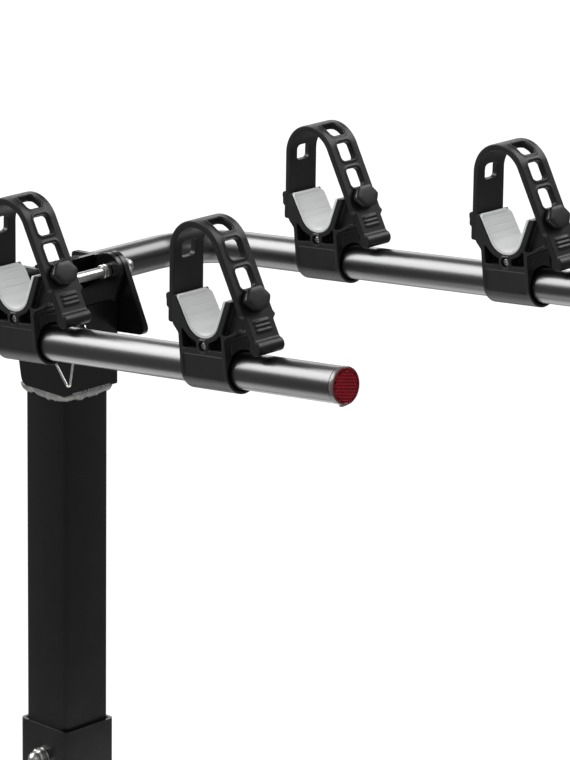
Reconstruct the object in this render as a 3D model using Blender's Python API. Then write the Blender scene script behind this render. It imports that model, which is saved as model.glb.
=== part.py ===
"""Hitch mounted bike rack: a tilting mast with a folding pair of arms and four strap cradles.

Lengths are in millimetres until an object is made, which is in metres. +X runs away from the vehicle,
+Y across it, +Z up. The origin is on the hitch shank's underside, below its hitch bolt.
"""

import math

import bmesh
import bpy
from mathutils import Matrix, Vector

MM = 0.001
GAP = 0.3

# Hitch shank and the cheeks that carry the mast
SHANK_SIDE = 50.8
SHANK_WALL = 3.2
SHANK_BACK = -64.0
SHANK_FRONT = 168.0
CHEEK_THICK = 6.0
CHEEK_BACK = 70.0
HITCH_BOLT_R = 6.35

# Mast
MAST_X = 206.0
MAST_SIDE = 44.45
MAST_WALL = 2.5
SLEEVE_SIDE = 50.8
SLEEVE_WALL = 2.85
CORNER_R = 4.0
SLEEVE_BOTTOM = 8.0
SLEEVE_RIM = 330.0
MAST_BOTTOM = 190.0
SLEEVE_BOLT_Z = (SLEEVE_RIM - 25.4, SLEEVE_RIM - 101.6)

SLEEVE_BOLT_R = 4.0

# Tilt hinge
TILT_Z = 30.0
TILT_BOLT_R = 6.0
PLUNGER_Z = TILT_Z + 60.0
PLUNGER_R = 5.0
PLUNGER_TIP_R = 2.5

# Arms
ARM_Z = SLEEVE_RIM + 344.8
ARM_RISE = math.radians(6.3)
ARM_R = 12.7
ARM_WALL = 1.8
ARM_SPACING = 304.8
ARM_BEND_R = 45.0
CROSSBAR_S = -17.5
ARM_END_S = 427.3

# Head on the mast and the bracket that folds on it
FOLD_X = 20.0
FOLD_Z = 8.3
FOLD_BOLT_R = 4.0
EAR_R = 13.6
HEAD_HALF = 26.75
HEAD_PLATE = 4.2
HEAD_BOTTOM = -78.5
HEAD_FRONT_TOP = -13.0
WING_INNER = 27.5
WING_THICK = 4.5
LOCK_X = 37.0
LOCK_Z = -25.0
LOCK_R = 4.8

# Cradles, in arm coordinates: s along the arm, y across it, w square to it
CRADLE_S = (126.5, 314.5)
CRADLE_HALF_DEPTH = 16.0
TROUGH = (1.5, 39.2)
TROUGH_R = 14.0
TROUGH_FLARE = math.radians(26.0)
LIP_W = 50.5
PAD_THICK = 2.4
STRAP_HALF_WIDTH = 14.0
STRAP_THICK = 5.0
ARCH = (-2.3, 78.2)
ARCH_R = 22.2
STRAP_FOOT_W = 30.5
LEG_ANGLE = math.radians(-67.5)
LEG_ALONG = Vector((math.cos(LEG_ANGLE), math.sin(LEG_ANGLE)))
LEG_OUT = Vector((-LEG_ALONG.y, LEG_ALONG.x))
KNOB_T = 41.0
TAIL_T = 73.0
KNOB_R = 10.0
KNOB_STEM = 3.2
STEM_R = 4.2
SCREW_AT = (0.6, 17.6)


def clear_scene():
    for old in list(bpy.data.objects):
        bpy.data.objects.remove(old)


def material(name, colour, roughness, metallic=0.0):
    made = bpy.data.materials.new(name)
    made.use_nodes = True
    shader = made.node_tree.nodes["Principled BSDF"]
    shader.inputs["Base Color"].default_value = (*colour, 1.0)
    shader.inputs["Roughness"].default_value = roughness
    shader.inputs["Metallic"].default_value = metallic
    return made


def arc(centre, radius, start, end, steps):
    """Points on an arc, angles in radians, both ends included."""
    angles = [start + (end - start) * i / steps for i in range(steps + 1)]
    return [(centre[0] + radius * math.cos(a), centre[1] + radius * math.sin(a)) for a in angles]


def rounded(corners, steps=3):
    """Outline through (x, y, radius) corners, each turned into an arc of its radius."""
    outline = []
    for i, (x, y, radius) in enumerate(corners):
        here = Vector((x, y))
        if radius == 0:
            outline.append((x, y))
            continue
        before = (Vector(corners[i - 1][:2]) - here).normalized()
        after = (Vector(corners[(i + 1) % len(corners)][:2]) - here).normalized()
        half = before.angle(after) / 2
        centre = here + (before + after).normalized() * (radius / math.sin(half))
        first = here + before * (radius / math.tan(half)) - centre
        last = here + after * (radius / math.tan(half)) - centre
        turn = first.angle_signed(last)
        for k in range(steps + 1):
            spot = centre + Matrix.Rotation(-turn * k / steps, 2) @ first
            outline.append((spot.x, spot.y))
    return outline


def box_outline(half_x, half_y, radius, steps=3):
    corners = ((-half_x, -half_y), (half_x, -half_y), (half_x, half_y), (-half_x, half_y))
    return rounded([(x, y, radius) for x, y in corners], steps)


AXES = {
    "x": lambda u, v, t: (t, u, v),
    "y": lambda u, v, t: (u, t, v),
    "z": lambda u, v, t: (u, v, t),
}


def finished(bm):
    bmesh.ops.recalc_face_normals(bm, faces=bm.faces)
    return bm


def prism(outline, axis, low, high, at=(0, 0), inner=None):
    """Outline pushed along an axis; inner is a second outline with as many points, left open."""
    bm = bmesh.new()
    put = AXES[axis]
    loops = []
    for line in (outline, inner) if inner else (outline,):
        ends = [[bm.verts.new(put(u + at[0], v + at[1], t)) for u, v in line] for t in (low, high)]
        loops.append(ends)
        for i in range(len(line)):
            j = (i + 1) % len(line)
            bm.faces.new((ends[0][i], ends[0][j], ends[1][j], ends[1][i]))
    for end in (0, 1):
        if inner:
            outside, inside = loops[0][end], loops[1][end]
            for i in range(len(outside)):
                j = (i + 1) % len(outside)
                bm.faces.new((outside[i], outside[j], inside[j], inside[i]))
        else:
            bm.faces.new(loops[0][end])
    return finished(bm)


def circle(radius, count, start=0.0):
    return arc((0, 0), radius, start, start + math.tau * (count - 1) / count, count - 1)


def rod(radius, axis, low, high, at=(0, 0), count=16):
    return prism(circle(radius, count), axis, low, high, at)


def turned(profile, axis, at=(0, 0), count=16):
    """Solid of revolution about an axis, from (radius, distance) points; end radii are 0."""
    bm = bmesh.new()
    put = AXES[axis]
    rings = []
    for radius, t in profile:
        if radius == 0:
            rings.append([bm.verts.new(put(at[0], at[1], t))])
        else:
            rings.append([bm.verts.new(put(at[0] + u, at[1] + v, t)) for u, v in circle(radius, count)])
    for a, b in zip(rings, rings[1:]):
        for i in range(count):
            j = (i + 1) % count
            around = [a[i % len(a)], a[j % len(a)], b[j % len(b)], b[i % len(b)]]
            bm.faces.new(list(dict.fromkeys(around)))
    return finished(bm)


def swept(path, radius, count, wall=0.0, closed=False):
    """Round wire or, with a wall, an open tube along a path of points."""
    bm = bmesh.new()
    points = [Vector(p) for p in path]
    last = len(points) - 1
    side = None
    rings = []
    for i, point in enumerate(points):
        before = points[i - 1] if i or closed else point
        after = points[(i + 1) % len(points)] if i < last or closed else point
        along = (after - before).normalized()
        if side is None:
            side = along.orthogonal().normalized()
        side = (side - along * side.dot(along)).normalized()
        other = along.cross(side)
        shells = []
        for r in (radius, radius - wall) if wall else (radius,):
            shells.append([bm.verts.new(point + side * u + other * v) for u, v in circle(r, count)])
        rings.append(shells)
    spans = list(zip(rings, rings[1:])) + ([(rings[-1], rings[0])] if closed else [])
    for a, b in spans:
        for shell in range(len(a)):
            for i in range(count):
                j = (i + 1) % count
                bm.faces.new((a[shell][i], a[shell][j], b[shell][j], b[shell][i]))
    if not closed:
        for ring in (rings[0], rings[-1]):
            if wall:
                for i in range(count):
                    j = (i + 1) % count
                    bm.faces.new((ring[0][i], ring[0][j], ring[1][j], ring[1][i]))
            else:
                bm.faces.new(ring[0])
    return finished(bm)


def mesh_of(name, bm):
    mesh = bpy.data.meshes.new(name)
    bmesh.ops.scale(bm, vec=(MM, MM, MM), verts=bm.verts)
    bm.to_mesh(mesh)
    bm.free()
    return mesh


def combined(name, base, *steps):
    """Mesh of the base after each (operation, other) step, such as ("DIFFERENCE", hole)."""
    body = bpy.data.objects.new(name, mesh_of(name, base))
    bpy.context.scene.collection.objects.link(body)
    helpers = [body]
    for operation, other in steps:
        tool = bpy.data.objects.new(name + "_tool", mesh_of(name + "_tool", other))
        bpy.context.scene.collection.objects.link(tool)
        change = body.modifiers.new(operation, "BOOLEAN")
        change.operation = operation
        change.solver = "EXACT"
        change.object = tool
        helpers.append(tool)
    graph = bpy.context.evaluated_depsgraph_get()
    result = bpy.data.meshes.new_from_object(body.evaluated_get(graph))
    for helper in helpers:
        bpy.data.objects.remove(helper)
    return result


def place(name, mesh, look, axle=None, matrix=None):
    """The named piece; axle is the empty whose joint carries it."""
    piece = bpy.data.objects.new(name, mesh)
    bpy.context.scene.collection.objects.link(piece)
    if matrix is not None:
        piece.matrix_world = matrix
    if not mesh.materials:
        mesh.materials.append(look)
    mesh.shade_smooth()
    mesh.set_sharp_from_angle(angle=math.radians(32))
    if axle:
        piece.parent = axle
        piece.matrix_parent_inverse = axle.matrix_world.inverted()
    return piece


def axle_at(name, x, y, z, parent=None):
    empty = bpy.data.objects.new(name, None)
    bpy.context.scene.collection.objects.link(empty)
    empty.location = (x * MM, y * MM, z * MM)
    bpy.context.view_layer.update()
    if parent:
        empty.parent = parent
        empty.matrix_parent_inverse = parent.matrix_world.inverted()
        bpy.context.view_layer.update()
    return empty


def moved(x, y, z, turn=None):
    shift = Matrix.Translation((x * MM, y * MM, z * MM))
    return shift @ turn if turn else shift


def square_tube(side, wall, axis, low, high, at):
    outer = box_outline(side / 2, side / 2, CORNER_R)
    inner = box_outline(side / 2 - wall, side / 2 - wall, max(CORNER_R - wall, 0.8))
    return prism(outer, axis, low, high, at, inner)


def dome_nut_mesh(thread_r):
    """Hexagon with a domed end; its blind bore opens at y = 0 and the dome points to -y."""
    across = 1.65 * thread_r
    hexagon = prism(circle(across / math.cos(math.pi / 6), 6, math.pi / 6), "y", -1.6 * thread_r, 0)
    dome = arc((0, -1.9 * thread_r), 1.45 * thread_r, 0, -math.pi / 2, 5)
    profile = [(0, -0.5), (1.45 * thread_r, -0.5)] + dome[:-1] + [(0, -3.35 * thread_r)]
    bore = rod(thread_r + GAP, "y", -2.4 * thread_r, 1)
    return combined("dome_nut", hexagon, ("UNION", turned(profile, "y")), ("DIFFERENCE", bore))


def hex_bolt_mesh(thread_r, length):
    """Head on the +y side of y = 0, shank towards -y."""
    across = 1.65 * thread_r
    head = prism(circle(across / math.cos(math.pi / 6), 6, math.pi / 6), "y", 0, 1.3 * thread_r)
    return combined("hex_bolt", head, ("UNION", rod(thread_r, "y", -length, 0.5)))


def washer_mesh(inner, outer, thick):
    ring = circle(outer, 20)
    return mesh_of("washer", prism(ring, "y", -thick / 2, thick / 2, inner=circle(inner, 20)))


def hitch_base(black, zinc, rubber):
    at = (0, SHANK_SIDE / 2)
    tube = square_tube(SHANK_SIDE, SHANK_WALL, "x", SHANK_BACK, SHANK_FRONT, at)
    hole = rod(HITCH_BOLT_R + 0.5, "y", -40, 40, (0, SHANK_SIDE / 2))
    place("hitch_shank", combined("shank", tube, ("DIFFERENCE", hole)), black)

    inside = SHANK_SIDE / 2 - SHANK_WALL - GAP
    plug = prism(box_outline(inside, inside, 1.2), "x", SHANK_BACK - 0.5, SHANK_BACK + 12, at)
    rim = prism(box_outline(SHANK_SIDE / 2, SHANK_SIDE / 2, CORNER_R), "x",
                SHANK_BACK - 4, SHANK_BACK - GAP, at)
    place("shank_end_cap", combined("shank_cap", rim, ("UNION", plug)), rubber)

    outline = rounded([
        (CHEEK_BACK, 4, 4), (MAST_X + 4, 4, 12), (MAST_X + 30, 22, 14),
        (MAST_X + 24, PLUNGER_Z + 8, 14), (MAST_X - 18, PLUNGER_Z + 14, 12), (CHEEK_BACK, 46, 4),
    ], 4)
    for name, side in (("cheek_near", -1), ("cheek_far", 1)):
        inner = side * (SHANK_SIDE / 2 + GAP)
        outer = inner + side * CHEEK_THICK
        plate = prism(outline, "y", min(inner, outer), max(inner, outer))
        holes = [("DIFFERENCE", rod(TILT_BOLT_R + GAP, "y", -60, 60, (MAST_X, TILT_Z)))]
        if side < 0:
            holes.append(("DIFFERENCE", rod(PLUNGER_R + GAP, "y", -60, 0, (MAST_X, PLUNGER_Z), 20)))
        place(name, combined(name, plate, *holes), black)

    reach = SHANK_SIDE / 2 + GAP + CHEEK_THICK + GAP
    bolt = hex_bolt_mesh(TILT_BOLT_R, 2 * reach + 1.9 * TILT_BOLT_R)
    place("tilt_bolt", bolt, zinc, matrix=moved(MAST_X, reach, TILT_Z))
    nut = dome_nut_mesh(TILT_BOLT_R)
    place("tilt_nut", nut, zinc, matrix=moved(MAST_X, -reach, TILT_Z))

    centre = SHANK_SIDE / 2
    axle = axle_at("hitch_bolt_axle", 0, 0, centre)
    face = SHANK_SIDE / 2 + 12.0
    bolt = hex_bolt_mesh(HITCH_BOLT_R, 2 * face + 6)
    turn = Matrix.Rotation(math.pi, 4, "Z")
    place("hitch_bolt", bolt, zinc, axle, moved(0, -face - 2.6, centre, turn))
    ring = washer_mesh(HITCH_BOLT_R + GAP, 14, 2.0)
    place("hitch_washer", ring, zinc, axle, moved(0, -face - 1.3, centre))

    axle = axle_at("tilt_plunger_axle", MAST_X, 0, PLUNGER_Z)
    tip = -SHANK_SIDE / 2 + 2.0
    cheek_face = -SHANK_SIDE / 2 - GAP - CHEEK_THICK
    profile = [
        (0, tip), (PLUNGER_TIP_R, tip), (PLUNGER_R, tip - PLUNGER_R + PLUNGER_TIP_R),
        (PLUNGER_R, cheek_face - 1), (8, cheek_face - 1), (8, cheek_face - 5), (4, cheek_face - 7),
        (4, cheek_face - 16), (11, cheek_face - 18), (12, cheek_face - 24), (8, cheek_face - 27),
        (0, cheek_face - 27.5),
    ]
    place("tilt_plunger", mesh_of("plunger", turned(profile, "y", count=20)), zinc, axle,
          moved(MAST_X, 0, PLUNGER_Z))


def mast(black, zinc, weld, axle):
    at = (MAST_X, 0)
    sleeve = square_tube(SLEEVE_SIDE, SLEEVE_WALL, "z", SLEEVE_BOTTOM, SLEEVE_RIM, at)
    face = -SLEEVE_SIDE / 2
    cone_r = PLUNGER_TIP_R + 0.4
    dimple = turned([
        (0, face - 1), (cone_r + 3.0, face - 1), (cone_r, face + 2.0), (cone_r, face + 8), (0, face + 8),
    ], "y", (MAST_X, PLUNGER_Z), 20)
    holes = [("DIFFERENCE", rod(SLEEVE_BOLT_R + GAP, "y", -40, 40, (MAST_X, z))) for z in SLEEVE_BOLT_Z]
    pivot = rod(TILT_BOLT_R + GAP, "y", -40, 40, (MAST_X, TILT_Z))
    shape = combined("sleeve", sleeve, *holes, ("DIFFERENCE", pivot), ("DIFFERENCE", dimple))
    place("base_sleeve", shape, black, axle)

    top = ARM_Z - 36.0
    post = square_tube(MAST_SIDE, MAST_WALL, "z", MAST_BOTTOM, top, at)
    holes = [("DIFFERENCE", rod(SLEEVE_BOLT_R + GAP, "y", -40, 40, (MAST_X, z))) for z in SLEEVE_BOLT_Z]
    place("mast_tube", combined("mast", post, *holes), black, axle)

    reach = SLEEVE_SIDE / 2 + GAP
    bolt = hex_bolt_mesh(SLEEVE_BOLT_R, 2 * reach + 1.9 * SLEEVE_BOLT_R)
    nut = dome_nut_mesh(SLEEVE_BOLT_R)
    for word, z in zip(("upper", "lower"), SLEEVE_BOLT_Z):
        place("sleeve_bolt_" + word, bolt, zinc, axle, moved(MAST_X, reach, z))
        place("sleeve_nut_" + word, nut, zinc, axle, moved(MAST_X, -reach, z))

    low = ARM_Z + HEAD_BOTTOM
    outer = MAST_SIDE / 2 + 3.4
    bead = rounded([(-outer, -outer, 5), (outer, -outer, 5), (outer, outer, 5), (-outer, outer, 5)], 2)
    inner = box_outline(MAST_SIDE / 2 + GAP, MAST_SIDE / 2 + GAP, CORNER_R, 2)
    ring = prism(bead, "z", low - GAP - 5.0, low - GAP, at, inner)
    place("mast_weld", mesh_of("weld", ring), weld, axle)

    head_bracket(black, axle)


def head_bracket(black, axle):
    """Channel round the mast's top, open to the rear, with two ears for the fold bolt."""
    ear_top = arc((FOLD_X, FOLD_Z), EAR_R, math.radians(-18), math.radians(200), 12)
    side = [(-20.5, HEAD_BOTTOM, 7), (HEAD_HALF, HEAD_BOTTOM, 1.2), (HEAD_HALF, HEAD_FRONT_TOP, 0)]
    side += [(x, z, 0) for x, z in ear_top] + [(-HEAD_HALF, -45, 0)]
    plate = prism(rounded(side, 4), "y", -HEAD_HALF, HEAD_HALF, (MAST_X, ARM_Z))
    front = MAST_X + HEAD_HALF
    upright = [
        edge for edge in plate.edges
        if all(abs(v.co.x - front) < 0.01 for v in edge.verts)
        and abs(edge.verts[0].co.y - edge.verts[1].co.y) < 0.01
    ]
    bmesh.ops.bevel(plate, geom=upright, offset=4.5, segments=3, affect="EDGES", profile=0.5)
    inside = HEAD_HALF - HEAD_PLATE
    room = [(-60, -100), (inside, -100), (inside, HEAD_FRONT_TOP), (60, HEAD_FRONT_TOP), (60, 60), (-60, 60)]
    void = prism(room, "y", -inside, inside, (MAST_X, ARM_Z))
    bolt = rod(FOLD_BOLT_R + GAP, "y", -40, 40, (MAST_X + FOLD_X, ARM_Z + FOLD_Z))
    shape = combined("head", plate, ("DIFFERENCE", void), ("DIFFERENCE", bolt))
    place("head_bracket", shape, black, axle)


def arm_matrix(s, y):
    """World matrix of a frame on an arm: its x along the arm and its z square to it."""
    x = MAST_X + s * math.cos(ARM_RISE)
    z = ARM_Z + s * math.sin(ARM_RISE)
    return moved(x, y, z, Matrix.Rotation(-ARM_RISE, 4, "Y"))


def arms(black, zinc, red, axle):
    half = ARM_SPACING / 2
    bend = (CROSSBAR_S + ARM_BEND_R, half - ARM_BEND_R)
    corner = arc(bend, ARM_BEND_R, math.pi / 2, math.pi, 8)
    side = [(ARM_END_S, half)] + corner
    plan = side + [(s, -y) for s, y in reversed(side)]
    tube = swept([(s, y, 0) for s, y in plan], ARM_R, 24, ARM_WALL)
    place("arm_tube", mesh_of("arm_tube", tube), black, axle, arm_matrix(0, 0))

    rim_r = ARM_R + 0.35
    inside = ARM_R - ARM_WALL - GAP
    rim = [(0, 0), (rim_r - 0.4, 0), (rim_r, 0.4), (rim_r, 3.9), (rim_r - 0.3, 4.2), (0, 4.2)]
    ring = turned(rim, "x", count=24)
    plug = rod(inside, "x", -16, 1, count=24)
    lens_r = ARM_R - 0.6
    seat = rod(lens_r + GAP, "x", 1.8, 6, count=24)
    cap = combined("cap", ring, ("UNION", plug), ("DIFFERENCE", seat))
    lens = mesh_of("lens", turned([(0, 2.1), (lens_r, 2.1), (lens_r, 3.9), (lens_r - 0.6, 4.5), (0, 4.5)],
                                  "x", count=24))
    for word, y in (("near", -half), ("far", half)):
        end = arm_matrix(ARM_END_S + GAP, y)
        place("arm_cap_" + word, cap, black, axle, end)
        place("reflector_" + word, lens, red, axle, end)

    fold_bracket(black, axle)
    fold_fasteners(zinc, axle)


def fold_bracket(black, axle):
    """Two wings joined by a short web in front of the crossbar."""
    crossbar = (CROSSBAR_S * math.cos(ARM_RISE), CROSSBAR_S * math.sin(ARM_RISE))
    drop = math.tan(ARM_RISE)
    low = -41.4
    outline = [(-24, low - 24 * drop, 4), (56.5, low + 56.5 * drop, 5)]
    ear_top = arc((FOLD_X, FOLD_Z), EAR_R, math.radians(25), math.radians(100), 6)
    outline += [(x, z, 0) for x, z in ear_top] + [(2, 16, 3), (-24, 14, 3)]
    outer = WING_INNER + WING_THICK
    block = prism(rounded(outline, 4), "y", -outer, outer, (MAST_X, ARM_Z))
    web_back, web_front = -4.0, 0.0
    room = prism([(web_front, -80), (80, -80), (80, 60), (web_front, 60)], "y",
                 -WING_INNER, WING_INNER, (MAST_X, ARM_Z))
    behind = prism([(-60, -80), (web_back, -80), (web_back, 60), (-60, 60)], "y",
                   -WING_INNER, WING_INNER, (MAST_X, ARM_Z))
    below = prism([(web_back - 1, -80), (web_front + 1, -80), (web_front + 1, -1), (web_back - 1, -1)],
                  "y", -WING_INNER, WING_INNER, (MAST_X, ARM_Z))
    seat = rod(ARM_R + GAP, "y", -60, 60, (MAST_X + crossbar[0], ARM_Z + crossbar[1]), 24)
    bolt = rod(FOLD_BOLT_R + GAP, "y", -60, 60, (MAST_X + FOLD_X, ARM_Z + FOLD_Z))
    pin = rod(LOCK_R + GAP, "y", -60, 0, (MAST_X + LOCK_X, ARM_Z + LOCK_Z))
    steps = [("DIFFERENCE", cutter) for cutter in (room, behind, below, seat, bolt, pin)]
    place("arm_bracket", combined("arm_bracket", block, *steps), black, axle)


def fold_fasteners(zinc, axle):
    x, z = MAST_X + FOLD_X, ARM_Z + FOLD_Z
    outer = WING_INNER + WING_THICK
    washer = washer_mesh(FOLD_BOLT_R + GAP, 8.5, 1.4)
    nut = dome_nut_mesh(FOLD_BOLT_R)
    seat = outer + 2 * GAP + 1.4
    reach = seat + 2.2 * FOLD_BOLT_R
    place("fold_bolt", mesh_of("fold_bolt", rod(FOLD_BOLT_R, "y", -reach, reach)), zinc, axle,
          moved(x, 0, z))
    for word, side in (("near", -1), ("far", 1)):
        turn = Matrix.Rotation(math.pi, 4, "Z") if side > 0 else None
        place("fold_washer_" + word, washer, zinc, axle, moved(x, side * (outer + GAP + 0.7), z))
        place("fold_nut_" + word, nut, zinc, axle, moved(x, side * seat, z, turn))
    inside = HEAD_HALF - HEAD_PLATE
    hollow = circle(FOLD_BOLT_R + GAP, 20)
    collar = prism(circle(FOLD_BOLT_R + 1.3, 20), "y", inside - 6.6, inside - GAP, inner=hollow)
    place("fold_collar", mesh_of("collar", collar), zinc, axle, moved(x, 0, z))


def lock_pin(zinc, pin_axle, ring_axle):
    """Pull pin in the near wing; its tip stands in front of the head's front plate."""
    x, z = MAST_X + LOCK_X, ARM_Z + LOCK_Z
    outer = WING_INNER + WING_THICK
    tip = -18.0
    ring_y = -outer - 7.0
    profile = [
        (0, tip), (LOCK_R - 1.2, tip), (LOCK_R, tip - 1.2), (LOCK_R, -outer - 0.6), (7.5, -outer - 0.6),
        (7.5, -outer - 3.0), (LOCK_R - 0.6, -outer - 3.0), (LOCK_R - 0.6, ring_y - 4), (3, ring_y - 5),
        (0, ring_y - 5),
    ]
    wire_r = 0.9
    eye = rod(wire_r + GAP, "x", -10, 10, (ring_y, 0), 12)
    place("lock_pin", combined("lock_pin", turned(profile, "y"), ("DIFFERENCE", eye)), zinc, pin_axle,
          moved(x, 0, z))
    corners = rounded([(-27, 0, 4), (14.5, 0, 4), (7, -41, 2.2)], 4)
    path = [(u, 0, v) for u, v in corners]
    place("pull_ring", mesh_of("pull_ring", swept(path, wire_r, 8, closed=True)), zinc, ring_axle,
          moved(x, ring_y, z))


def trough_line(offset):
    """The trough's outline at an offset outward from the pad's face, left lip to right lip."""
    radius = TROUGH_R + offset
    start, end = math.pi + TROUGH_FLARE, math.tau - TROUGH_FLARE
    line = arc(TROUGH, radius, start, end, 8)
    rise = LIP_W - line[-1][1]
    out = rise * math.tan(TROUGH_FLARE)
    return [(line[0][0] - out, LIP_W)] + line + [(line[-1][0] + out, LIP_W)]


def cradle_body_mesh():
    half, deep = 22.0, CRADLE_HALF_DEPTH
    outline = rounded([
        (-half, -19, 3), (-half, 25, 3), (-27.0, 31, 3), (-24.8, LIP_W, 1.0), (30.1, LIP_W, 1.5),
        (37.2, 33, 3), (33, 28.5, 3), (half, 24, 3), (half, -19, 3),
    ], 3)
    block = prism(outline, "y", -deep, deep)
    loaf_line = [(-deep, LIP_W + 5)] + arc((0, 0), deep, math.pi, math.tau, 14) + [(deep, LIP_W + 5)]
    loaf = prism(loaf_line, "x", -60, 60)
    trough = trough_line(PAD_THICK + GAP)
    opening = [(trough[0][0] - 3, LIP_W + 6)] + trough + [(trough[-1][0] + 3, LIP_W + 6)]
    bore = rod(ARM_R + GAP, "x", -60, 60, count=24)
    tools = [("INTERSECT", loaf), ("DIFFERENCE", prism(opening, "y", -40, 40)), ("DIFFERENCE", bore)]
    mouth = rod(ARM_R + 1.3, "x", half - 3.5, 60, count=24)
    tools.append(("DIFFERENCE", mouth))
    pockets = (
        [(-18.5, 15.4), (-5.2, 15.4), (-5.2, 20.0), (-12.2, 23.2), (-18.5, 30.0)],
        [(6.4, 15.4), (18.5, 15.4), (18.5, 27.5), (13.6, 23.0), (6.4, 20.0)],
    )
    for pocket in pockets:
        tools.append(("DIFFERENCE", prism(pocket, "y", -40, -deep + 9)))
        tools.append(("DIFFERENCE", prism(pocket, "y", deep - 9, 40)))
    plate = rounded([(-19, -5.5, 1.5), (19.5, -5.5, 1.5), (19.5, 11.5, 1.5), (-19, 11.5, 1.5)], 2)
    plate_floor = -deep + 0.6
    tools.append(("DIFFERENCE", prism(plate, "y", -40, plate_floor)))
    screw = rod(3.3, "y", -40, -deep + 4, SCREW_AT, 12)
    tools.append(("DIFFERENCE", screw))
    peg = leg_point(KNOB_T) - LEG_OUT * (STRAP_THICK / 2 + KNOB_STEM + GAP)
    socket = prism(circle(STEM_R + 0.4, 12), "x", 0, 40)
    bmesh.ops.transform(socket, matrix=knob_matrix(peg, LEG_OUT), verts=socket.verts)
    tools.append(("DIFFERENCE", socket))
    return combined("cradle_body", block, *tools)


def leg_point(distance):
    """Where the strap's midline is, in (s, w), at a distance down its front leg."""
    return Vector(ARCH) + LEG_OUT * ARCH_R + LEG_ALONG * distance


def knob_matrix(spot, out):
    """Frame at (s, w) in the cradle whose x points along out."""
    turn = Matrix.Rotation(-math.atan2(out.y, out.x), 4, "Y")
    return Matrix.Translation((spot.x, 0, spot.y)) @ turn


def knob_mesh():
    """Mushroom peg: its stem stands in the cradle's horn and passes through the strap."""
    base = leg_point(KNOB_T) - LEG_OUT * (STRAP_THICK / 2 + KNOB_STEM)
    under = KNOB_STEM + STRAP_THICK + 0.4
    profile = [(0, 0), (STEM_R, 0), (STEM_R, under), (KNOB_R - 0.8, under), (KNOB_R, under + 1),
               (KNOB_R, under + 4.6), (KNOB_R - 1.4, under + 6), (0, under + 6)]
    bm = turned(profile, "x", count=20)
    bmesh.ops.transform(bm, matrix=knob_matrix(base, LEG_OUT), verts=bm.verts)
    return mesh_of("knob", bm)


def strap_lines(path):
    """Closed outline of the strap along a midline path, half its thickness to each side."""
    points = [Vector(p) for p in path]
    left, right = [], []
    for i, point in enumerate(points):
        before = points[max(i - 1, 0)]
        after = points[min(i + 1, len(points) - 1)]
        along = (after - before).normalized()
        out = Vector((-along.y, along.x)) * (STRAP_THICK / 2)
        left.append(tuple(point + out))
        right.append(tuple(point - out))
    return left + right[::-1]


def strap_hole(matrix, half_long, half_wide):
    """Rounded slot through the strap; the matrix puts its x through the strap."""
    hole = prism(box_outline(half_wide, half_long, 3.0, 2), "x", -9, 9)
    bmesh.ops.transform(hole, matrix=matrix, verts=hole.verts)
    return hole


def arch_frame(angle):
    out = Vector((math.cos(angle), math.sin(angle)))
    return knob_matrix(Vector(ARCH) + out * ARCH_R, out)


def strap_loop_mesh():
    """Rear leg and arch, up to the bend where the front leg lifts."""
    rear_angle = math.radians(173.7)
    rear = arc(ARCH, ARCH_R, rear_angle, math.radians(26), 12)
    down = Vector((-math.sin(math.radians(6.3)), -math.cos(math.radians(6.3))))
    length = (rear[0][1] - STRAP_FOOT_W) / -down.y
    foot = Vector(rear[0]) + down * length
    body = prism(strap_lines([tuple(foot)] + rear), "y", -STRAP_HALF_WIDTH, STRAP_HALF_WIDTH)
    back = foot.x - 4.6
    profile = [(back, 41, 1.5), (foot.x, 40, 0), (foot.x + 1, 51, 0), (back + 1.1, 50, 1.5)]
    bump = prism(rounded(profile, 2), "y", -STRAP_HALF_WIDTH, STRAP_HALF_WIDTH)
    tools = [("UNION", bump)]
    tools.append(("DIFFERENCE", strap_hole(arch_frame(math.radians(172)), 6.5, 7.0)))
    tools.append(("DIFFERENCE", strap_hole(arch_frame(math.radians(59)), 6.5, 7.5)))
    return combined("strap_loop", body, *tools)


def strap_tail_mesh(hinge):
    """Front leg and pull tab, from the bend down, with its own origin on the bend line."""
    bend = leg_point(GAP / 2)
    end = leg_point(TAIL_T)
    body = prism(strap_lines([tuple(bend), tuple(end)]), "y", -STRAP_HALF_WIDTH, STRAP_HALF_WIDTH)
    roll = rod(5.0, "y", -12, 12, tuple(end), 14)
    tools = [("UNION", roll)]
    narrow = leg_point(TAIL_T - 7)
    for side in (-1, 1):
        low, high = sorted((side * 12, side * 20))
        trim = prism(box_outline(15.0, 8, 0), "y", low, high)
        turn = Matrix.Rotation(-LEG_ANGLE, 4, "Y")
        bmesh.ops.transform(trim, matrix=Matrix.Translation((narrow.x, 0, narrow.y)) @ turn, verts=trim.verts)
        tools.append(("DIFFERENCE", trim))
    for t in (7.5, 25.0):
        tools.append(("DIFFERENCE", strap_hole(knob_matrix(leg_point(t), LEG_OUT), 6.8, 7.0)))
    over_knob = strap_hole(knob_matrix(leg_point(KNOB_T), LEG_OUT), KNOB_R + 1.4, KNOB_R + 0.8)
    tools.append(("DIFFERENCE", over_knob))
    mesh = combined("strap_tail", body, *tools)
    mesh.transform(Matrix.Translation((-hinge.x * MM, 0, -hinge.y * MM)))
    return mesh


def pad_mesh():
    inner = trough_line(0)
    outer = trough_line(PAD_THICK)
    return mesh_of("pad", prism(inner + outer[::-1], "y", -CRADLE_HALF_DEPTH + 0.8, CRADLE_HALF_DEPTH - 0.4))


def screw_mesh():
    front = -CRADLE_HALF_DEPTH
    profile = [(0, front + 3.7), (2.9, front + 3.7), (2.9, front + 1.6), (2.2, front + 1.0), (0, front + 1.0)]
    slot = prism(box_outline(3.2, 0.5, 0), "y", front, front + 1.9, SCREW_AT)
    return combined("screw", turned(profile, "y", SCREW_AT, 12), ("DIFFERENCE", slot))


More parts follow.
